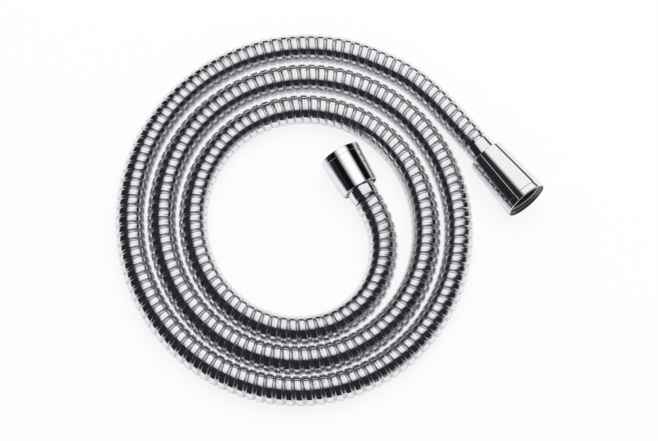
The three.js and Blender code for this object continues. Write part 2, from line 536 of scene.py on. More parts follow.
def end_place(end, way):
    """Mouth and axis of an end, and the height at which the hose meets its ferrule."""
    slope, mouth_height = nut_rest(end)
    join = way[-1]
    heading = (way[-2] - join) / np.linalg.norm(way[-2] - join)
    reach = end["length"] + end["shown"] + SEAT_GAP
    axis = Vector((heading[0] * math.cos(slope), heading[1] * math.cos(slope), -math.sin(slope)))
    mouth = Vector((join[0], join[1], 0)) - axis * reach
    mouth.z = mouth_height
    return mouth, axis, (mouth + axis * reach).z, slope


def settled_heights(points, slope, join_height):
    """Heights of the hose from a ferrule down to the floor, in a shallow curve."""
    drop = join_height - ARMOUR_RADIUS
    run = 2 * drop / math.tan(slope)
    steps = np.linalg.norm(np.diff(points, axis=0), axis=1)
    distance = np.concatenate([[0.0], np.cumsum(steps)])
    return ARMOUR_RADIUS + drop * np.maximum(0, 1 - distance / run) ** 2


def smooth_line(points):
    """A centripetal curve through the points, cut into even steps."""
    before = 2 * points[0] - points[1]
    after = 2 * points[-1] - points[-2]
    knots = np.vstack([before, points, after])
    line = []
    for p0, p1, p2, p3 in zip(knots, knots[1:], knots[2:], knots[3:]):
        d0, d1, d2 = (math.sqrt(np.linalg.norm(b - a)) for a, b in ((p0, p1), (p1, p2), (p2, p3)))
        start = d1 * ((p1 - p0) / d0 - (p2 - p0) / (d0 + d1) + (p2 - p1) / d1)
        stop = d1 * ((p2 - p1) / d1 - (p3 - p1) / (d1 + d2) + (p3 - p2) / d2)
        t = np.linspace(0, 1, CURVE_POINTS, endpoint=False)[:, None]
        line.append(
            (2 * t**3 - 3 * t**2 + 1) * p1 + (t**3 - 2 * t**2 + t) * start
            + (3 * t**2 - 2 * t**3) * p2 + (t**3 - t**2) * stop
        )
    line = np.vstack([*line, points[-1:]])
    along = np.concatenate([[0.0], np.cumsum(np.linalg.norm(np.diff(line, axis=0), axis=1))])
    even = np.linspace(0, along[-1], int(round(along[-1] / LINE_STEP)) + 1)
    return np.stack([np.interp(even, along, line[:, k]) for k in range(3)], axis=1), even


def make_route():
    """The hose's line and the places of its two ends, in metres, in the frame."""
    coil = [coil_point(degrees) for degrees in range(COIL_START, COIL_END + 1, COIL_STEP)]
    cone_way = np.array([coil[0] + step for step in WAY_TO_CONE_END])
    tap_way = np.array([coil[-1] + step for step in WAY_TO_TAP_END])
    cone_mouth, cone_axis, cone_height, cone_slope = end_place(CONE_END, cone_way)
    tap_mouth, tap_axis, tap_height, tap_slope = end_place(TAP_END, tap_way)
    flat = np.vstack([cone_way[::-1], coil, tap_way])
    half = len(flat) // 2
    heights = np.concatenate([
        settled_heights(flat[:half], cone_slope, cone_height),
        settled_heights(flat[half:][::-1], tap_slope, tap_height)[::-1],
    ])
    shift = centring_shift(cone_mouth, cone_axis)
    points = np.column_stack([flat, heights]) + np.array(shift)
    line, along = smooth_line(points)
    places = {
        "cone": ((cone_mouth + shift) * MM, cone_axis),
        "tap": ((tap_mouth + shift) * MM, tap_axis),
    }
    return line * MM, along * MM, places


def centring_shift(mouth, axis):
    """How far the part's source moves the hose to centre it: read from where the washer lies."""
    low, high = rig.box("cone_washer")
    middle = mouth + axis * (THREAD_DEPTH + WASHER_THICKNESS / 2)
    shift = (low + high) / 2 / MM - middle
    if shift.length > FRAME_TOLERANCE:
        raise RuntimeError(f"the hose's route doesn't fit the frame: it is {shift} mm away")
    return Vector((shift.x, shift.y, 0))


def each_end(kind):
    """Both ends of the hose in turn, with their place and the name of their piece of one kind."""
    places = make_route()[2]
    for end in (CONE_END, TAP_END):
        yield end, places[end["name"]], f"{end['name']}_{kind}"


# The armour


def band_profile(sizes):
    """Across one turn of the strip: (way from the band's middle, height over the recess)."""
    half, rise, corner, foot = sizes.band_width / 2, sizes.band_rise, sizes.band_corner, sizes.band_foot
    cut = corner * (1 - math.sqrt(0.5))
    rising = [
        (-half - foot, 0.0),
        (-half - FOOT_KNEE * foot, FOOT_KNEE * foot),
        (-half, rise - corner),
        (-half + cut, rise - cut),
        (-half + corner, rise),
    ]
    falling = [(-way, height) for way, height in reversed(rising)]
    return rising + falling


def hose_directions(line, along):
    """Directions to the side and up at each point of the hose's line, and how sharply it bends."""
    tangent = np.gradient(line, along, axis=0)
    tangent /= np.linalg.norm(tangent, axis=1, keepdims=True)
    side = np.cross(tangent, [0.0, 0.0, 1.0])
    side /= np.linalg.norm(side, axis=1, keepdims=True)
    bend = (np.gradient(tangent, along, axis=0) * side).sum(axis=1)
    padded = np.pad(bend, BEND_POINTS // 2, mode="edge")
    bend = np.convolve(padded, np.ones(BEND_POINTS) / BEND_POINTS, mode="valid")
    return side, np.cross(side, tangent), bend


def armour_mesh(line, along, sizes):
    """The wound strip as a closed tube whose bands climb one pitch a turn. The recess between two
    bands opens on the outside of a bend and closes on its inside, as the real strip slides."""
    length, columns = along[-1], sizes.columns
    pitch = length / sizes.turns
    profile = band_profile(sizes)
    recess_radius = ARMOUR_RADIUS * MM - sizes.band_rise
    side, above, bend = hose_directions(line, along)
    angles = -np.arange(columns) / columns * 2 * math.pi

    def on_tube(where, radius):
        """Points round the hose at places along it, one in each column."""
        where, radius, around = np.broadcast_arrays(where, radius, angles)
        middle, right, up = (
            np.stack([np.interp(where, along, part[:, k]) for k in range(3)], axis=-1)
            for part in (line, side, above)
        )
        return middle + radius[..., None] * (
            np.cos(around)[..., None] * right + np.sin(around)[..., None] * up
        )

    turns = np.repeat(np.arange(sizes.turns + 2), len(profile))
    offset, height = np.tile(np.array(profile).T, sizes.turns + 2)[..., None]
    middle = (turns[:, None] - 0.5) * pitch + pitch * np.arange(columns) / columns
    stretch = 1 - np.interp(middle, along, bend) * ARMOUR_RADIUS * MM * np.cos(angles)
    where = middle + offset / stretch
    inside = (where > 0) & (where < length)
    where = np.clip(where, 0, length)
    outer = on_tube(where, np.where(inside, recess_radius + height, recess_radius))

    rows = len(outer)
    faces, uvs = [], []
    for row in range(rows - 1):
        for column in range(columns):
            following, lift = (column + 1, 0) if column + 1 < columns else (0, len(profile))
            if row + 1 + lift >= rows:
                continue
            corners = (
                (row, column), (row + 1, column), (row + 1 + lift, following), (row + lift, following),
            )
            if not any(inside[corner] for corner in corners):
                continue
            faces.append([r * columns + c for r, c in corners])
            sides = (column, column, column + 1, column + 1)
            uvs.append([(where[corner], s / columns) for corner, s in zip(corners, sides)])

    lining = on_tube(np.linspace(0, length, LINING_RINGS)[:, None], ARMOUR_BORE * MM)
    end_rings = [on_tube(place, recess_radius) for place in (0.0, length)]
    first = rows * columns
    last = first + (LINING_RINGS - 1) * columns
    # The lining's rings are joined to one another, and the first and last to the armour's two ends
    joined = [(ring, ring + columns) for ring in range(first, last, columns)]
    joined += [(last + columns, first), (last, last + 2 * columns)]
    for ring, other in joined:
        for column in range(columns):
            following = (column + 1) % columns
            faces.append([ring + column, ring + following, other + following, other + column])
    uvs += [[(0.0, 0.0)] * 4] * (len(faces) - len(uvs))

    mesh = bpy.data.meshes.new("hose_armour")
    points = np.vstack([outer.reshape(-1, 3), lining.reshape(-1, 3), *end_rings])
    mesh.from_pydata(points.tolist(), [], faces)
    mesh.uv_layers.new(name="strip").data.foreach_set("uv", np.array(uvs).reshape(-1))
    relief = np.zeros(len(points))
    relief[:first] = np.where(inside, height / sizes.band_rise, 0).reshape(-1)
    mesh.attributes.new("relief", "FLOAT", "POINT").data.foreach_set("value", relief)
    return mesh


class HOSE_OT_armour(bpy.types.Operator):
    """Lays the strip-wound armour along the coil as one free hose"""

    bl_idname = "shower_hose.armour"
    bl_label = "Armour"

    def execute(self, context):
        line, along, _ = make_route()
        sizes = context.scene.hose_sizes
        obj = bpy.data.objects.new("hose_armour", armour_mesh(line, along, sizes))
        context.scene.collection.objects.link(obj)
        make_active(obj)
        bpy.ops.object.mode_set(mode="EDIT")
        bpy.ops.mesh.select_all(action="SELECT")
        bpy.ops.mesh.remove_doubles(threshold=ARMOUR_MERGE * MM)
        bpy.ops.mesh.delete_loose()
        face_outwards()
        obj.data.materials.append(armour_chrome())
        flatten_bands(obj)
        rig.ride(obj, "hose")
        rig.replaces(obj, "armour")
        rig.slot(obj, "armour")
        return {"FINISHED"}


# Turned pieces: built along +Z from the nut's mouth, then laid on their axis


def arc(middle_radius, middle_depth, size, start, stop, steps=5):
    """Points of a rounded edge, between two angles in degrees from the radius towards the depth."""
    return [
        (middle_radius + size * math.cos(angle), middle_depth + size * math.sin(angle))
        for angle in np.radians(np.linspace(start, stop, steps + 1))
    ]


def turn(name, outline, sizes):
    """A ring on the outline's first point, extruded and resized from point to point until it closes."""
    deselect_all()
    radius, depth = outline[0]
    bpy.ops.mesh.primitive_circle_add(
        vertices=sizes.facets, radius=radius * MM, fill_type="NOTHING", location=(0, 0, depth * MM)
    )
    obj = bpy.context.active_object
    obj.name = obj.data.name = name
    bpy.ops.object.transform_apply(location=True, rotation=True, scale=True)
    bpy.ops.object.mode_set(mode="EDIT")
    bpy.ops.mesh.select_all(action="SELECT")
    for (radius, depth), (next_radius, next_depth) in zip(outline, [*outline[1:], outline[0]]):
        bpy.ops.mesh.extrude_region_move(
            TRANSFORM_OT_translate={"value": (0, 0, (next_depth - depth) * MM)}
        )
        ratio = next_radius / radius
        bpy.ops.transform.resize(value=(ratio, ratio, 1), center_override=(0, 0, next_depth * MM))
    bpy.ops.mesh.select_all(action="SELECT")
    bpy.ops.mesh.remove_doubles(threshold=TURNED_MERGE * MM)
    face_outwards()
    return obj


def soften_edges(obj, width):
    bevel = obj.modifiers.new("edges", "BEVEL")
    bevel.width = width
    bevel.segments = 2
    bevel.limit_method = "ANGLE"
    bevel.angle_limit = math.radians(BEVEL_FROM)
    apply_modifiers(obj)


def thread_ridge(name):
    """The thread inside a nut: a trapezium wound up the bore by a Screw modifier, its ends capped."""
    deselect_all()
    bpy.ops.mesh.primitive_plane_add(size=2, location=(0, 0, 0))
    obj = bpy.context.active_object
    obj.name = obj.data.name = name
    root, crest = THREAD_MAJOR + RIDGE_LAP, THREAD_CORE + RIDGE_ROOM
    corners = (
        (root, -RIDGE_ROOT_HALF), (root, RIDGE_ROOT_HALF),
        (crest, RIDGE_CREST_HALF), (crest, -RIDGE_CREST_HALF),
    )
    for vertex, (radius, depth) in zip(sorted(obj.data.vertices, key=plane_order), corners):
        vertex.co = (radius * MM, 0, (RIDGE_START + depth) * MM)
    bpy.ops.object.mode_set(mode="EDIT")
    bpy.ops.mesh.select_all(action="SELECT")
    bpy.ops.mesh.delete(type="ONLY_FACE")
    bpy.ops.object.mode_set(mode="OBJECT")
    screw = obj.modifiers.new("thread", "SCREW")
    screw.axis = "Z"
    screw.angle = 2 * math.pi
    screw.screw_offset = THREAD_PITCH * MM
    screw.iterations = RIDGE_TURNS
    screw.steps = screw.render_steps = RIDGE_STEPS
    apply_modifiers(obj)
    bpy.ops.object.mode_set(mode="EDIT")
    bpy.ops.mesh.select_all(action="SELECT")
    bpy.ops.mesh.fill_holes(sides=4)
    face_outwards()
    return obj


def plane_order(vertex):
    """Orders a plane's four corners round its edge."""
    return math.atan2(vertex.co.y, vertex.co.x)


def lay_on_axis(obj, place):
    """Turns a piece from +Z onto its end's axis, moves it to the mouth and applies both."""
    mouth, axis = place
    make_active(obj)
    obj.rotation_mode = "QUATERNION"
    obj.rotation_quaternion = Vector((0, 0, 1)).rotation_difference(axis)
    obj.location = mouth
    bpy.ops.object.transform_apply(location=True, rotation=True, scale=True)


def finish_turned(obj, place, materials, body, node, slot):
    shade_by_angle(obj, TURNED_SHARP)
    lay_on_axis(obj, place)
    for material in materials:
        obj.data.materials.append(material)
    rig.ride(obj, body)
    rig.replaces(obj, node)
    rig.slot(obj, slot)


def nut_outline(end, sizes):
    """Rim, band and groove at the mouth, tapered skirt, recess and lip behind, and the bore."""
    mouth, tail, length, band = end["mouth"], end["tail"], end["length"], end["band"]
    rim, groove = sizes.rim_round / MM, sizes.groove / MM
    shell_bore = mouth - rim - RIM_FLAT - RIM_CHAMFER
    ferrule_bore = FERRULE_RADIUS + SPIN_GAP
    pocket = THREAD_DEPTH - THREAD_RUNOUT
    shoulder = FLANGE_BACK + SEAT_GAP
    return [
        (THREAD_MAJOR, INSERT_DEPTH + INSERT_CHAMFER),
        (THREAD_MAJOR + INSERT_CHAMFER, INSERT_DEPTH),
        (shell_bore, INSERT_DEPTH),
        (shell_bore, RIM_CHAMFER),
        (shell_bore + RIM_CHAMFER, 0.0),
        *arc(mouth - rim, rim, rim, -90, 0),
        (mouth, band),
        (mouth - groove, band + groove / 2),
        (mouth - groove / 2, band + groove),
        *arc(tail - TAIL_EDGE_ROUND, length - TAIL_EDGE_ROUND, TAIL_EDGE_ROUND, 0, 90),
        (tail - end["lip"], length),
        (tail - end["lip"], length - end["recess"]),
        (ferrule_bore, length - end["recess"]),
        (ferrule_bore, shoulder),
        (THREAD_CORE, shoulder),
        (THREAD_CORE, pocket),
        (THREAD_MAJOR, pocket),
    ]


class HOSE_OT_nuts(bpy.types.Operator):
    """Turns the conical nut and the tap nut, each with its thread"""

    bl_idname = "shower_hose.nuts"
    bl_label = "Nuts"

    def execute(self, context):
        sizes = context.scene.fitting_sizes
        for end, place, name in each_end("nut"):
            nut = turn(f"{name}_body", nut_outline(end, sizes), sizes)
            soften_edges(nut, sizes.edge)
            ridge = thread_ridge(f"{name}_thread")
            make_active(nut)
            ridge.select_set(True)
            bpy.ops.object.join()
            # The bore is painted darker, as shade, from the middle of the mouth's inner chamfer to just past the
            # shoulder
            shaded_bore_radius = end["mouth"] * MM - sizes.rim_round - (RIM_FLAT + RIM_CHAMFER / 2) * MM
            for face in nut.data.polygons:
                reach = max(math.hypot(*nut.data.vertices[v].co.xy) for v in face.vertices)
                face.material_index = int(reach < shaded_bore_radius and face.center.z < SHADED_BORE_DEPTH * MM)
            materials = [fitting_chrome(name, place), shaded_bore(name, place)]
            finish_turned(nut, place, materials, name, name, "nut")
        return {"FINISHED"}


def ferrule_outline(end):
    """Sleeve, closed round the tail's neck in front and stepped down to the hose behind."""
    back = end["length"] + end["shown"]
    step = FERRULE_RADIUS - FERRULE_STEP_DEPTH
    step_front = back - FERRULE_STEP_LENGTH
    bore = INNER_HOSE_RADIUS + SEAT_GAP
    return [
        (NECK_RADIUS + SEAT_GAP, FERRULE_FRONT),
        (FERRULE_RADIUS, FERRULE_FRONT),
        *arc(FERRULE_RADIUS - FERRULE_CORNER, step_front - FERRULE_CORNER, FERRULE_CORNER, 0, 90, 4),
        (step, step_front),
        (step, back),
        (bore, back),
        (bore, FERRULE_FRONT + FERRULE_END_WALL),
        (NECK_RADIUS + SEAT_GAP, FERRULE_FRONT + FERRULE_END_WALL),
    ]


class HOSE_OT_ferrules(bpy.types.Operator):
    """Turns the ferrules that clamp the hose on its tails"""

    bl_idname = "shower_hose.ferrules"
    bl_label = "Ferrules"

    def execute(self, context):
        sizes = context.scene.fitting_sizes
        for end, place, name in each_end("ferrule"):
            ferrule = turn(f"{name}_sleeve", ferrule_outline(end), sizes)
            soften_edges(ferrule, sizes.edge)
            finish_turned(ferrule, place, [fitting_chrome(name, place)], "hose", name, "ferrule")
        return {"FINISHED"}


def tail_outline(end):
    """Flange that the nut pulls on, neck through the ferrule and barbed stem in the inner hose."""
    back = end["length"] + end["shown"]
    crest = INNER_HOSE_BORE - SEAT_GAP
    root = crest - BARB_HEIGHT
    stem_front = INNER_HOSE_FRONT - SEAT_GAP
    barbs = int((back - stem_front) // BARB_PITCH)
    outline = [
        (WATERWAY + WATERWAY_CHAMFER, FLANGE_FRONT),
        (FLANGE_RADIUS, FLANGE_FRONT),
        (FLANGE_RADIUS, FLANGE_BACK),
        (NECK_RADIUS, FLANGE_BACK),
        (NECK_RADIUS, stem_front),
        (root, stem_front),
    ]
    for barb in range(barbs):
        foot = stem_front + barb * BARB_PITCH
        rise, peak = (foot + BARB_PITCH * share for share in BARB_FRONT)
        outline += [(root, rise), (crest, peak), (root, foot + BARB_PITCH)]
    stem_back = stem_front + barbs * BARB_PITCH
    return [*outline, (WATERWAY, stem_back), (WATERWAY, FLANGE_FRONT + WATERWAY_CHAMFER)]


class HOSE_OT_tails(bpy.types.Operator):
    """Turns the brass tails that carry the water from the nuts into the hose"""

    bl_idname = "shower_hose.tails"
    bl_label = "Tails"

    def execute(self, context):
        sizes = context.scene.fitting_sizes
        for end, place, name in each_end("tail"):
            tail = turn(f"{name}_stem", tail_outline(end), sizes)
            finish_turned(tail, place, [turned_brass(name, place)], "hose", name, "tail")
        return {"FINISHED"}


class HOSE_OT_washers(bpy.types.Operator):
    """Turns the rubber washers that seal the nuts"""

    bl_idname = "shower_hose.washers"
    bl_label = "Washers"

    def execute(self, context):
        sizes = context.scene.fitting_sizes
        back = THREAD_DEPTH + WASHER_THICKNESS
        outline = [
            (WASHER_BORE, THREAD_DEPTH), (FLANGE_RADIUS, THREAD_DEPTH),
            (FLANGE_RADIUS, back), (WASHER_BORE, back),
        ]
        for _, place, name in each_end("washer"):
            washer = turn(f"{name}_ring", outline, sizes)
            soften_edges(washer, 2 * sizes.edge)
            material = rubber(name, context.scene.finishes.rubber)
            finish_turned(washer, place, [material], "hose", name, "washer")
        return {"FINISHED"}


class HOSE_OT_inner_hose(bpy.types.Operator):
    bl_idname = "shower_hose.inner_hose"
    bl_label = "Inner hose and lay"

    def execute(self, context):
        node = frame["nodes"]["inner_hose"]
        node.data.materials.clear()
        node.data.materials.append(rubber("inner_hose", context.scene.finishes.lining))
        line, along, _ = make_route()
        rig.cord(
            bpy.data.objects["hose_armour"],
            exit=line[0],
            length=float(along[-1]),
            diameter=2 * ARMOUR_RADIUS * MM,
            far_end="fitting",
            stiffness="medium",
            lay="coiled",
            path=line[::5],
            with_pieces=[
                bpy.data.objects[name]
                for name in ("tap_nut_body", "tap_ferrule_sleeve", "tap_tail_stem", "tap_washer_ring")
            ],
        )
        return {"FINISHED"}


# Materials


def math_node(tree, operation, first, second=None, clamp=False):
    """A Math node on two sockets or plain numbers. It returns its output socket."""
    node = tree.nodes.new("ShaderNodeMath")
    node.operation = operation
    node.use_clamp = clamp
    for socket, value in zip(node.inputs, (first, second)):
        if isinstance(value, bpy.types.NodeSocket):
            tree.links.new(value, socket)
        elif value is not None:
            socket.default_value = value
    return node.outputs[0]


def sum_of_products(tree, first, second):
    """The sum of two products, each of a socket with a socket or a plain number."""
    return math_node(
        tree, "ADD", math_node(tree, "MULTIPLY", *first), math_node(tree, "MULTIPLY", *second))


def smooth_step(tree, value, low, high):
    node = tree.nodes.new("ShaderNodeMapRange")
    node.interpolation_type = "SMOOTHSTEP"
    tree.links.new(value, node.inputs["Value"])
    node.inputs["From Min"].default_value = low
    node.inputs["From Max"].default_value = high
    return node.outputs["Result"]


def noise(tree, vector, scale, detail):
    node = tree.nodes.new("ShaderNodeTexNoise")
    node.inputs["Scale"].default_value = scale
    node.inputs["Detail"].default_value = detail
    tree.links.new(vector, node.inputs["Vector"])
    return node.outputs["Fac"]


def mix_colours(tree, factor, low, high):
    """A Mix node from one colour to another, each a socket or plain numbers. It returns its output."""
    node = tree.nodes.new("ShaderNodeMix")
    node.data_type = "RGBA"
    tree.links.new(factor, node.inputs["Factor"])
    for name, colour in (("A", low), ("B", high)):
        if isinstance(colour, bpy.types.NodeSocket):
            tree.links.new(colour, node.inputs[name])
        else:
            node.inputs[name].default_value = (*colour, 1)
    return node.outputs["Result"]


def coordinates(tree, kind):
    return tree.nodes.new("ShaderNodeTexCoord").outputs[kind]


def scaled(tree, vector, scale):
    node = tree.nodes.new("ShaderNodeMapping")
    node.inputs["Scale"].default_value = scale
    tree.links.new(vector, node.inputs["Vector"])
    return node.outputs["Vector"]


def parts_of(tree, vector):
    """The X, Y and Z of a vector."""
    node = tree.nodes.new("ShaderNodeSeparateXYZ")
    tree.links.new(vector, node.inputs["Vector"])
    return node.outputs


def polish_group():
    """Polishing marks: fine lines across the first axis, and the haze that handling leaves."""
    if "Polishing marks" in bpy.data.node_groups:
        return bpy.data.node_groups["Polishing marks"]
    group = bpy.data.node_groups.new("Polishing marks", "ShaderNodeTree")
    group.interface.new_socket("Vector", in_out="INPUT", socket_type="NodeSocketVector")
    for title, way in (
        ("Roughness", "INPUT"), ("Haze", "INPUT"), ("Roughness", "OUTPUT"), ("Height", "OUTPUT"),
    ):
        group.interface.new_socket(title, in_out=way, socket_type="NodeSocketFloat")
    given = group.nodes.new("NodeGroupInput")
    result = group.nodes.new("NodeGroupOutput")
    lines = noise(group, scaled(group, given.outputs["Vector"], MARK_STRETCH), *MARK_NOISE)
    smears = noise(group, given.outputs["Vector"], *SMEAR_NOISE)
    haze = math_node(group, "MULTIPLY", smears, given.outputs["Haze"])
    rough = math_node(group, "ADD", given.outputs["Roughness"], haze)
    group.links.new(rough, result.inputs["Roughness"])
    group.links.new(lines, result.inputs["Height"])
    return group


def new_material(name, values):
    """A material with some of its shader's own values set. It returns its nodes and shader too."""
    material = bpy.data.materials.new(name)
    material.use_nodes = True
    tree = material.node_tree
    shader = tree.nodes["Principled BSDF"]
    for title, value in values.items():
        shader.inputs[title].default_value = value
    return material, tree, shader


def add_bump(tree, shader, height, depth):
    """Relief on a surface, its depth in millimetres."""
    bump = tree.nodes.new("ShaderNodeBump")
    bump.inputs["Distance"].default_value = depth * MM
    tree.links.new(height, bump.inputs["Height"])
    tree.links.new(bump.outputs["Normal"], shader.inputs["Normal"])


def add_marks(tree, shader, vector, roughness, haze, depth):
    """Polishing marks on a surface, their depth in millimetres. It returns the hazy roughness."""
    marks = tree.nodes.new("ShaderNodeGroup")
    marks.node_tree = polish_group()
    marks.inputs["Roughness"].default_value = roughness
    marks.inputs["Haze"].default_value = haze
    tree.links.new(vector, marks.inputs["Vector"])
    add_bump(tree, shader, marks.outputs["Height"], depth)
    return marks.outputs["Roughness"]


def armour_chrome():
    """Chrome on the wound strip: drawn lines along the strip, and a duller recess with painted shade in its darker
    tone.
    """
    finishes = bpy.context.scene.finishes
    material, tree, shader = new_material("armour_chrome", {"Metallic": 1.0})
    relief = tree.nodes.new("ShaderNodeAttribute")
    relief.attribute_name = "relief"
    crest = smooth_step(tree, relief.outputs["Fac"], 0.0, RECESS_TOP)
    # The recess and the lining take a darker tone: painted shade
    shaded_recess_tone = [RECESS_SHADE_TONE * part for part in finishes.chrome]
    tree.links.new(mix_colours(tree, crest, shaded_recess_tone, finishes.chrome), shader.inputs["Base Color"])
    strip = tree.nodes.new("ShaderNodeUVMap")
    strip.uv_map = "strip"
    vector = scaled(tree, strip.outputs["UV"], (1.0, 2 * math.pi * ARMOUR_RADIUS * MM, 1.0))
    marks = add_marks(tree, shader, vector, finishes.chrome_roughness, **MARKS["armour"])
    dull = math_node(tree, "MULTIPLY", math_node(tree, "SUBTRACT", 1.0, crest), RECESS_DULLNESS)
    tree.links.new(math_node(tree, "ADD", marks, dull, clamp=True), shader.inputs["Roughness"])
    return material


def turned_coordinates(tree, place):
    """Coordinates for a turned piece's marks: the way over it from its mouth, and a little round it."""
    mouth, axis = place
    onto_axis = tree.nodes.new("ShaderNodeMapping")
    onto_axis.vector_type = "TEXTURE"
    onto_axis.inputs["Location"].default_value = mouth
    onto_axis.inputs["Rotation"].default_value = Vector((0, 0, 1)).rotation_difference(axis).to_euler()
    tree.links.new(coordinates(tree, "Object"), onto_axis.inputs["Vector"])
    x, y, z = parts_of(tree, onto_axis.outputs["Vector"])
    radius = math_node(tree, "SQRT", sum_of_products(tree, (x, x), (y, y)))
    angle = math_node(tree, "ABSOLUTE", math_node(tree, "ARCTAN2", y, x))
    joined = tree.nodes.new("ShaderNodeCombineXYZ")
    tree.links.new(math_node(tree, "ADD", z, radius), joined.inputs["X"])
    tree.links.new(math_node(tree, "MULTIPLY", angle, MARK_WANDER), joined.inputs["Y"])
    return joined.outputs["Vector"]


def turned_metal(name, finish, place, tone, roughness, tarnished=None):
    """A turned piece's metal: faint rings from the lathe, and patches of a second tone if given."""
    material, tree, shader = new_material(
        f"{name}_{finish}", {"Metallic": 1.0, "Base Color": (*tone, 1)})
    vector = turned_coordinates(tree, place)
    marks = add_marks(tree, shader, vector, roughness, **MARKS[finish])
    tree.links.new(marks, shader.inputs["Roughness"])
    if tarnished:
        patches = smooth_step(tree, noise(tree, vector, *TARNISH_NOISE), *TARNISH_EDGE)
        tree.links.new(mix_colours(tree, patches, tone, tarnished), shader.inputs["Base Color"])
    return material


def fitting_chrome(name, place):
    """Bright plating on a turned fitting."""
    finishes = bpy.context.scene.finishes
    roughness = FITTING_ROUGHNESS_SHARE * finishes.chrome_roughness
    return turned_metal(name, "chrome", place, finishes.chrome, roughness)


def shaded_bore(name, place):
    """The inside of a nut: matt, with a darker tone painted in as shade."""
    return turned_metal(name, "bore", place, BORE_SHADE_TONE, BORE_ROUGHNESS)


def turned_brass(name, place):
    """Plain brass as it comes off the lathe, a little tarnished."""
    brass = bpy.context.scene.finishes.brass
    tarnished = [TARNISH_TONE * part for part in brass]
    return turned_metal(name, "brass", place, brass, BRASS_ROUGHNESS, tarnished)


def rubber(name, colour):
    """Moulded rubber: matt, with a fine grain and a pale bloom."""
    material, tree, shader = new_material(f"{name}_rubber", {})
    grain = noise(tree, coordinates(tree, "Object"), *GRAIN_NOISE)
    bloom = smooth_step(tree, noise(tree, coordinates(tree, "Object"), *BLOOM_NOISE), *BLOOM_EDGE)
    bloomed = [BLOOM_TONE * part for part in colour]
    tree.links.new(mix_colours(tree, bloom, colour, bloomed), shader.inputs["Base Color"])
    rough = math_node(tree, "ADD", math_node(tree, "MULTIPLY", grain, RUBBER_GRAIN), RUBBER_ROUGHNESS)
    tree.links.new(rough, shader.inputs["Roughness"])
    add_bump(tree, shader, grain, RUBBER_RELIEF)
    return material


# The stage


def seen_and_mirrored(tree):
    """Where the camera looks straight at something, and where it sees it in metal or glass."""
    path = tree.nodes.new("ShaderNodeLightPath")
    mirrored = math_node(
        tree, "ADD", path.outputs["Is Glossy Ray"], path.outputs["Is Transmission Ray"], clamp=True)
    return path.outputs["Is Camera Ray"], mirrored


def floor_material(levels):
    """Pale floor that keeps the hose's shadow."""
    material, tree, shader = new_material("floor_paper", {
        "Base Color": (*[levels.floor_tone] * 3, 1),
        "Roughness": FLOOR_ROUGHNESS,
        "Specular IOR Level": 0.0,
    })
    glow = tree.nodes.new("ShaderNodeEmission")
    blend = tree.nodes.new("ShaderNodeMixShader")
    seen, mirrored = seen_and_mirrored(tree)
    share = sum_of_products(
        tree, (seen, 1 - levels.floor_shadow), (mirrored, 1 - levels.mirrored_shadow))
    tree.links.new(share, blend.inputs["Fac"])
    tree.links.new(shader.outputs["BSDF"], blend.inputs[1])
    tree.links.new(glow.outputs["Emission"], blend.inputs[2])
    tree.links.new(blend.outputs["Shader"], tree.nodes["Material Output"].inputs["Surface"])
    return material


def softbox_material(levels):
    """The softbox's front: bright inside its straight, soft edges, and dark outside them."""
    material = bpy.data.materials.new("softbox_front")
    material.use_nodes = True
    tree = material.node_tree
    tree.nodes.clear()
    x, y, _ = parts_of(tree, coordinates(tree, "Object"))
    inside = None
    for across, up, reach in SOFTBOX_EDGES:
        edge = math_node(tree, "ADD", sum_of_products(tree, (x, across), (y, up)), reach)
        inside = edge if inside is None else math_node(tree, "MINIMUM", inside, edge)
    glow = smooth_step(tree, inside, -SOFTBOX_FADE, SOFTBOX_FADE)
    loss = math_node(
        tree, "MULTIPLY", smooth_step(tree, inside, SOFTBOX_LOSS_WIDTH, 0.0), -SOFTBOX_LOSS)
    glow = math_node(tree, "MULTIPLY", glow, math_node(tree, "ADD", loss, 1.0))
    glow = math_node(tree, "MULTIPLY", glow, levels.softbox)
    light = tree.nodes.new("ShaderNodeEmission")
    tree.links.new(mix_colours(tree, glow, levels.darkness, WHITE), light.inputs["Color"])
    output = tree.nodes.new("ShaderNodeOutputMaterial")
    tree.links.new(light.outputs["Emission"], output.inputs["Surface"])
    return material


def studio_world(levels):
    """White behind the camera's view. The chrome mirrors a dark studio, with a pale wall low in the
    east, a light line low in the north-east and a pale horizon."""
    world = bpy.data.worlds.new("studio")
    world.use_nodes = True
    tree = world.node_tree
    tree.nodes.clear()
    x, y, z = parts_of(tree, coordinates(tree, "Generated"))
    down = math_node(tree, "MULTIPLY", math_node(tree, "ARCCOSINE", z), 180 / math.pi)
    level = math_node(tree, "SQRT", sum_of_products(tree, (x, x), (y, y)))
    level = math_node(tree, "MAXIMUM", level, LEAST_LEVEL)

    glow = math_node(tree, "MULTIPLY", smooth_step(tree, down, *HORIZON_DEGREES), HORIZON_LEVEL)
    off_line = math_node(tree, "ABSOLUTE", math_node(tree, "SUBTRACT", down, LIGHT_LINE_MIDDLE))
    for part, degrees in ((WALL, down), (LIGHT_LINE, off_line)):
        east, north = part["heading"]
        near = math_node(tree, "DIVIDE", sum_of_products(tree, (x, east), (y, north)), level)
        shown = math_node(
            tree, "MULTIPLY", smooth_step(tree, degrees, *part["degrees"]),
            smooth_step(tree, near, *part["nearness"]),
        )
        glow = math_node(tree, "MAXIMUM", glow, math_node(tree, "MULTIPLY", shown, part["level"]))

    seen, mirrored = seen_and_mirrored(tree)
    straight = mix_colours(tree, seen, ROOM_TONE, WHITE)
    in_metal = mix_colours(tree, glow, levels.darkness, WHITE)
    background = tree.nodes.new("ShaderNodeBackground")
    tree.links.new(mix_colours(tree, mirrored, straight, in_metal), background.inputs["Color"])
    output = tree.nodes.new("ShaderNodeOutputWorld")
    tree.links.new(background.outputs["Background"], output.inputs["Surface"])
    return world


def add_plane(name, size, location, material):
    bpy.ops.mesh.primitive_plane_add(size=size, location=location)
    plane = bpy.context.active_object
    plane.name = name
    bpy.ops.object.transform_apply(location=True, rotation=True, scale=True)
    plane.data.materials.append(material)
    return plane


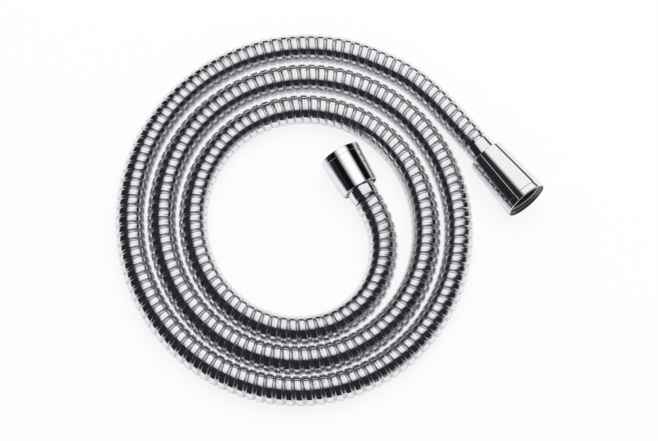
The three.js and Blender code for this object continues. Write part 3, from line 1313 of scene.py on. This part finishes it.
class HOSE_OT_stage(bpy.types.Operator):
    """Sets up the floor, the soft light and the camera"""

    bl_idname = "shower_hose.stage"
    bl_label = "Stage"

    def execute(self, context):
        scene = context.scene
        levels = scene.studio_levels
        deselect_all()
        floor = add_plane("floor", FLOOR_SIZE, (0, 0, -FLOOR_DROP), floor_material(levels))
        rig.stage(floor)
        place = (*SOFTBOX_MIDDLE, SOFTBOX_HEIGHT)
        softbox = add_plane("softbox", SOFTBOX_SPAN, place, softbox_material(levels))
        softbox.visible_camera = False
        softbox.visible_diffuse = False
        softbox.visible_shadow = False
        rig.stage(softbox)

        bpy.ops.object.light_add(type="AREA", location=LAMP_PLACE)
        lamp = context.active_object
        lamp.data.shape = "DISK"
        lamp.data.size = LAMP_SIZE
        lamp.data.energy = levels.lamp_power
        lamp.rotation_euler = (-lamp.location).to_track_quat("-Z", "Y").to_euler()
        lamp.visible_glossy = False

        aim = Vector(CAMERA_AIM)
        towards = Vector((0, math.cos(CAMERA_ELEVATION), -math.sin(CAMERA_ELEVATION)))
        bpy.ops.object.camera_add(location=aim - towards * CAMERA_DISTANCE)
        camera = context.active_object
        camera.rotation_euler = towards.to_track_quat("-Z", "Y").to_euler()
        camera.data.lens = CAMERA_LENS
        camera.data.sensor_width = CAMERA_SENSOR
        camera.data.clip_start = CAMERA_CLIP
        scene.camera = camera
        scene.world = studio_world(levels)
        scene.view_settings.view_transform = "Standard"
        return {"FINISHED"}


def shine_on(light, pieces):
    """Lets a lamp or a glowing panel show only in the named pieces."""
    lit = bpy.data.collections.new(f"lit by {light.name}")
    for piece in pieces:
        lit.objects.link(piece)
    light.light_linking.receiver_collection = lit


def add_nut_lamp(name, place, size, level):
    """A flat lamp that hangs face down. Its brightness doesn't change with its size."""
    bpy.ops.object.light_add(type="AREA", location=place)
    lamp = bpy.context.active_object
    lamp.name = lamp.data.name = name
    lamp.data.shape = "RECTANGLE"
    lamp.data.size, lamp.data.size_y = size
    lamp.data.energy = math.pi * size[0] * size[1] * level
    lamp.visible_camera = False
    return lamp


def soft_edges(lamp, edges, rest):
    """Fades a lamp's light in and out across its width."""
    lamp.data.use_nodes = True
    tree = lamp.data.node_tree
    low, high = NUT_LIGHT_REACH
    start, full, falling, stop = ((edge - low) / (high - low) for edge in edges)
    geometry = tree.nodes.new("ShaderNodeNewGeometry")
    across, _, _ = parts_of(tree, geometry.outputs["Parametric"])
    rise = smooth_step(tree, across, start, full)
    fall = smooth_step(tree, across, stop, falling)
    strength = math_node(tree, "MAXIMUM", math_node(tree, "MULTIPLY", rise, fall), rest)
    tree.links.new(strength, tree.nodes["Emission"].inputs["Strength"])


class HOSE_OT_nut_lights(bpy.types.Operator):
    """Adds the lamps that only the nuts mirror, and keeps the hose's softbox out of the nuts"""

    bl_idname = "shower_hose.nut_lights"
    bl_label = "Nut lights"

    def execute(self, context):
        low, high = NUT_LIGHT_REACH
        nuts = []
        for end, (mouth, axis), name in each_end("nut"):
            nuts.append(bpy.data.objects[f"{name}_body"])
            middle = mouth + axis * (0.5 * end["length"] * MM)
            across = Vector((-axis.y, axis.x, 0)).normalized()
            across *= math.copysign(1, across.x)
            light = NUT_LIGHTS[end["name"]]
            near, far = light["along"]
            place = middle + across * (low + high) / 2 + axis * (near + far) / 2
            place.z = NUT_LIGHT_HEIGHT
            lamp = add_nut_lamp(f"{name}_light", place, (high - low, far - near), light["level"])
            lamp.rotation_euler = (0, 0, math.atan2(across.y, across.x))
            soft_edges(lamp, light["edges"], light["rest"])
            shine_on(lamp, nuts[-1:])

        end, (mouth, axis), _ = next(each_end("nut"))
        above = mouth + axis * (0.5 * end["length"] * MM) + Vector(STRIP_FROM_NUT)
        strip = add_nut_lamp("strip_light", above, STRIP_SIZE, context.scene.studio_levels.strip)
        strip.rotation_euler = (0, 0, math.atan2(-axis.x, axis.y))
        shine_on(strip, nuts[:1])

        softbox = bpy.data.objects["softbox"]
        unlit = (*nuts, bpy.data.objects["floor"], softbox)
        meshes = [piece for piece in context.scene.objects if piece.type == "MESH"]
        shine_on(softbox, [piece for piece in meshes if piece not in unlit])
        return {"FINISHED"}


class HOSE_PT_pieces(bpy.types.Panel):
    """Lists the hose's pieces and its sizes in the sidebar"""

    bl_idname = "HOSE_PT_pieces"
    bl_label = "Shower hose"
    bl_space_type = "VIEW_3D"
    bl_region_type = "UI"
    bl_category = "Shower hose"

    def draw(self, context):
        for operator in OPERATORS:
            self.layout.operator(operator.bl_idname)
        for name, group in GROUPS:
            box = self.layout.box()
            for size in group.__annotations__:
                box.prop(getattr(context.scene, name), size)


OPERATORS = (
    HOSE_OT_stage, HOSE_OT_armour, HOSE_OT_nuts, HOSE_OT_ferrules, HOSE_OT_tails,
    HOSE_OT_washers, HOSE_OT_inner_hose, HOSE_OT_nut_lights,
)
GROUPS = (
    ("hose_sizes", HoseSizes), ("fitting_sizes", FittingSizes),
    ("finishes", Finishes), ("studio_levels", StudioLevels),
)


def register():
    for name, group in GROUPS:
        bpy.utils.register_class(group)
        setattr(bpy.types.Scene, name, bpy.props.PointerProperty(type=group))
    for cls in (*OPERATORS, HOSE_PT_pieces):
        bpy.utils.register_class(cls)


def unregister():
    for cls in reversed((*OPERATORS, HOSE_PT_pieces)):
        bpy.utils.unregister_class(cls)
    for name, group in reversed(GROUPS):
        delattr(bpy.types.Scene, name)
        bpy.utils.unregister_class(group)


def main():
    register()
    bpy.ops.shower_hose.stage()
    bpy.ops.shower_hose.armour()
    bpy.ops.shower_hose.nuts()
    bpy.ops.shower_hose.ferrules()
    bpy.ops.shower_hose.tails()
    bpy.ops.shower_hose.washers()
    bpy.ops.shower_hose.inner_hose()
    bpy.ops.shower_hose.nut_lights()
    with open(SIZE_FILE, "w") as size_file:
        json.dump({
            "cad": [list(corner) for corner in CAD_BOX],
            "visual": [list(corner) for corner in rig.bounds()],
        }, size_file)


if __name__ == "__main__":
    main()
